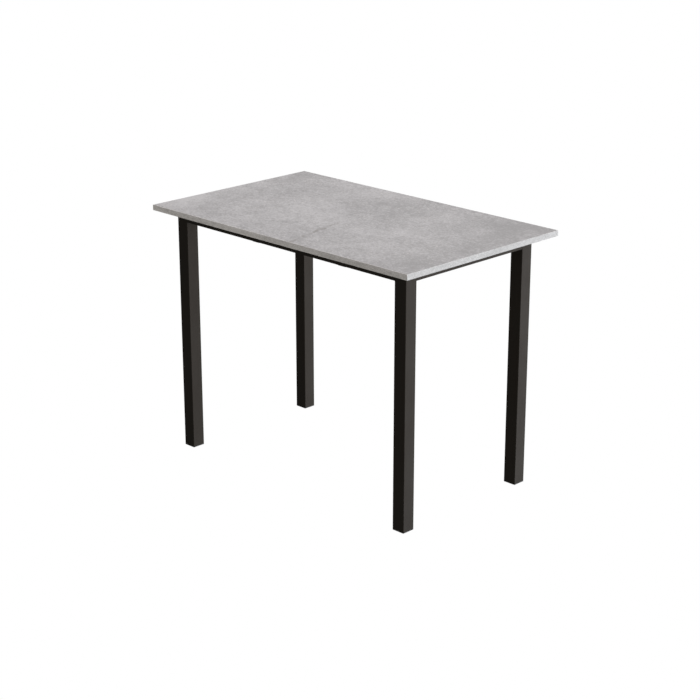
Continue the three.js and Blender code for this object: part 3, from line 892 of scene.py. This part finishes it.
# ---------------------------------------------------------------- fasteners
class MakeFasteners(bpy.types.Operator):
    """Makes the corner brackets and every bolt and screw"""

    bl_idname = "dining_table.make_fasteners"
    bl_label = "Make brackets and fasteners"

    def execute(self, context):
        sizes, zinc = context.scene.table_sizes, finishes(context)["zinc"]
        for corner, (sx, sy) in CORNERS.items():
            refine_node(f"bracket_{corner}", zinc, 0.4 * MM)
            make_bolt(f"leg_bolt_{corner}", 0, sx, sizes, zinc)
            make_bolt(f"apron_bolt_{corner}", 1, sy, sizes, zinc)
            make_bolt(f"hanger_bolt_{corner}", 1, sy, sizes, zinc)
            make_screw(f"top_screw_{corner}", sizes.wood_screw_head, zinc)
        for side in SIDES:
            make_screw(f"arm_stop_{side}", sizes.stop_screw_head, zinc)
            for i in (1, 2):
                make_screw(f"guide_screw_{side}_{i}", sizes.wood_screw_head, zinc)
        return {"FINISHED"}


def seat(node, axis, sign, head):
    """The matrix that takes a fastener, its seat at the origin and driven along +Z, to its place, and the
    length below its head."""
    lo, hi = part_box(node)
    point = (lo + hi) / 2
    point[axis] = (lo[axis] if sign > 0 else hi[axis]) + sign * head
    way = Vector((0, 0, 0))
    way[axis] = sign
    matrix = Matrix.Translation(point) @ way.to_track_quat("Z", "Y").to_matrix().to_4x4()
    return matrix, hi[axis] - lo[axis] - head


def head_profile(profile, radius, height):
    """The stations of a head, from its recess outwards and down to its seat."""
    return [(share * radius, -up * height) for share, up in profile]


def make_bolt(node, axis, sign, sizes, material):
    """A button-head bolt with a hex socket."""
    head, shank, point = sizes.bolt_head, sizes.bolt_radius, sizes.bolt_point
    matrix, long = seat(node, axis, sign, head)
    lead_in = 0.2 * MM
    socket = hexagon(sizes.bolt_socket)
    stations = [
        (socket, -head + sizes.bolt_socket_depth),
        (socket, -head + 0.75 * lead_in),
        (hexagon(sizes.bolt_socket + lead_in), -head),
        *head_profile(BUTTON_HEAD, sizes.bolt_head_radius, head),
        (shank, 0),
        (shank, long - point),
        (shank - point, long),
    ]
    stand_for(turned(f"{node}_button", stations, matrix, material), node)


def make_screw(node, head, material):
    """A pan-head screw with a cross recess."""
    matrix, long = seat(node, 2, 1, head)
    lo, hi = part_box(node)
    wide, shank = (hi.x - lo.x) / 2, (hi.x - lo.x) / 4
    recess = cross(0.62 * wide, 0.2 * wide)
    stations = [
        (cross(0.3 * wide, 0.1 * wide), -0.3 * head),
        (recess, -head + 0.1 * MM),
        (cross(0.66 * wide, 0.23 * wide), -head),
        *head_profile(PAN_HEAD, wide, head),
        (shank, 0),
        (shank, long - shank),
        (0.3 * shank, long),
    ]
    stand_for(turned(f"{node}_pan", stations, matrix, material), node)


# ---------------------------------------------------------------- studio
class SetStudio(bpy.types.Operator):
    """Sets up the floor, the lights, the pale surroundings and the camera"""

    bl_idname = "dining_table.set_studio"
    bl_label = "Set up studio"

    def execute(self, context):
        studio = context.scene.table_studio
        context.scene.view_settings.view_transform = "Standard"
        make_camera(context, studio)
        make_floor(studio)
        make_surroundings(context, studio)
        make_softbox(context, studio)
        return {"FINISHED"}


def make_camera(context, studio):
    azimuth, elevation = math.radians(studio.azimuth), math.radians(studio.elevation)
    back = Vector((
        math.sin(azimuth) * math.cos(elevation),
        -math.cos(azimuth) * math.cos(elevation),
        math.sin(elevation),
    ))
    data = bpy.data.cameras.new("studio_camera")
    data.sensor_width = studio.sensor
    data.lens = studio.lens
    camera = bpy.data.objects.new("studio_camera", data)
    camera.location = Vector((0, 0, studio.target)) + back * studio.distance
    camera.rotation_mode = "QUATERNION"
    camera.rotation_quaternion = (-back).to_track_quat("-Z", "Y")
    context.scene.collection.objects.link(camera)
    context.scene.camera = camera


def make_floor(studio):
    """A plain white floor that only the eye sees: the table is lit as if the pale studio went on below it."""
    bm = bmesh.new()
    bmesh.ops.create_grid(bm, x_segments=1, y_segments=1, size=studio.floor_size / 2)
    material = bpy.data.materials.new("white_floor")
    material.use_nodes = True
    tree = material.node_tree
    tree.nodes.remove(tree.nodes["Principled BSDF"])
    glow = add_node(tree, "Emission", {"Color": (1, 1, 1, 1), "Strength": 1})
    tree.links.new(glow.outputs[0], tree.nodes["Material Output"].inputs["Surface"])
    floor = to_object("studio_floor", bm, material)
    for ray in ("diffuse", "glossy", "transmission", "shadow"):
        setattr(floor, f"visible_{ray}", False)


def make_surroundings(context, studio):
    """White to the eye. To the table, three broad pale walls that brighten towards the middle of each."""
    world = bpy.data.worlds.new("pale_studio")
    world.use_nodes = True
    context.scene.world = world
    tree = world.node_tree
    towards = add_node(tree, "TexCoord").outputs["Generated"]
    walls = (
        ((1, 1, 0), studio.right_wall, studio.right_tint),
        ((0, 1, 0), studio.back_wall, studio.back_tint),
        ((0, -1, 0), studio.front_wall, studio.front_tint),
    )
    light = (0, 0, 0)
    for middle, strength, tint in walls:
        inputs = {0: towards, 1: Vector(middle).normalized()}
        facing = add_node(tree, "VectorMath", inputs, operation="DOT_PRODUCT").outputs["Value"]
        off = calculate(tree, "MULTIPLY", calculate(tree, "SUBTRACT", facing, 1.0), studio.focus)
        inputs = {0: Vector(tint[:3]) * strength, "Scale": calculate(tree, "EXPONENT", off)}
        wall = add_node(tree, "VectorMath", inputs, operation="SCALE")
        light = add_node(tree, "VectorMath", {0: wall.outputs[0], 1: light}, operation="ADD").outputs[0]
    seen = add_node(tree, "LightPath").outputs["Is Camera Ray"]
    tree.links.new(mix(tree, seen, light, (1, 1, 1, 1)), tree.nodes["Background"].inputs["Color"])


def make_softbox(context, studio):
    """A square softbox overhead that points straight down."""
    data = bpy.data.lights.new("top_softbox", "AREA")
    data.shape = "SQUARE"
    data.size = studio.top_size
    data.energy = studio.top
    data.color = studio.top_tint[:3]
    light = bpy.data.objects.new("top_softbox", data)
    light.location.z = studio.top_height
    context.scene.collection.objects.link(light)


# ---------------------------------------------------------------- add-on
def finishes(context):
    """The table's materials by short name, made once."""
    made = finishes.made
    if not made:
        colours = context.scene.table_colours
        made.update(
            concrete=concrete_laminate(colours),
            band=abs_edge_band(colours),
            chipboard=chipboard_core(colours),
            coat=powder_coated_steel(colours),
            zinc=zinc_plated_steel(colours),
            polyethylene=moulded_polyethylene(colours),
            nylon=moulded_nylon(colours),
            beech=turned_beech(colours),
        )
    return made


finishes.made = {}

OPERATORS = (MakeTop, MakeLeaf, MakeLegs, MakeAprons, MakeArms, MakeHangers, MakeFasteners, SetStudio)


class DiningTablePanel(bpy.types.Panel):
    """Lists the table's operators, sizes and colours"""

    bl_idname = "VIEW3D_PT_dining_table"
    bl_label = "Dining table"
    bl_space_type = "VIEW_3D"
    bl_region_type = "UI"
    bl_category = "Dining table"

    def draw(self, context):
        for operator in OPERATORS:
            self.layout.operator(operator.bl_idname)
        for group in (context.scene.table_sizes, context.scene.table_colours, context.scene.table_studio):
            for name in group.__annotations__:
                self.layout.prop(group, name)


CLASSES = (TableSizes, TableColours, StudioSettings, *OPERATORS, DiningTablePanel)


def register():
    for cls in CLASSES:
        bpy.utils.register_class(cls)
    bpy.types.Scene.table_sizes = PointerProperty(type=TableSizes)
    bpy.types.Scene.table_colours = PointerProperty(type=TableColours)
    bpy.types.Scene.table_studio = PointerProperty(type=StudioSettings)


def unregister():
    del bpy.types.Scene.table_studio
    del bpy.types.Scene.table_colours
    del bpy.types.Scene.table_sizes
    for cls in reversed(CLASSES):
        bpy.utils.unregister_class(cls)


def main():
    register()
    for operator in OPERATORS:
        group, name = operator.bl_idname.split(".")
        getattr(getattr(bpy.ops, group), name)()


if __name__ == "__main__":
    main()
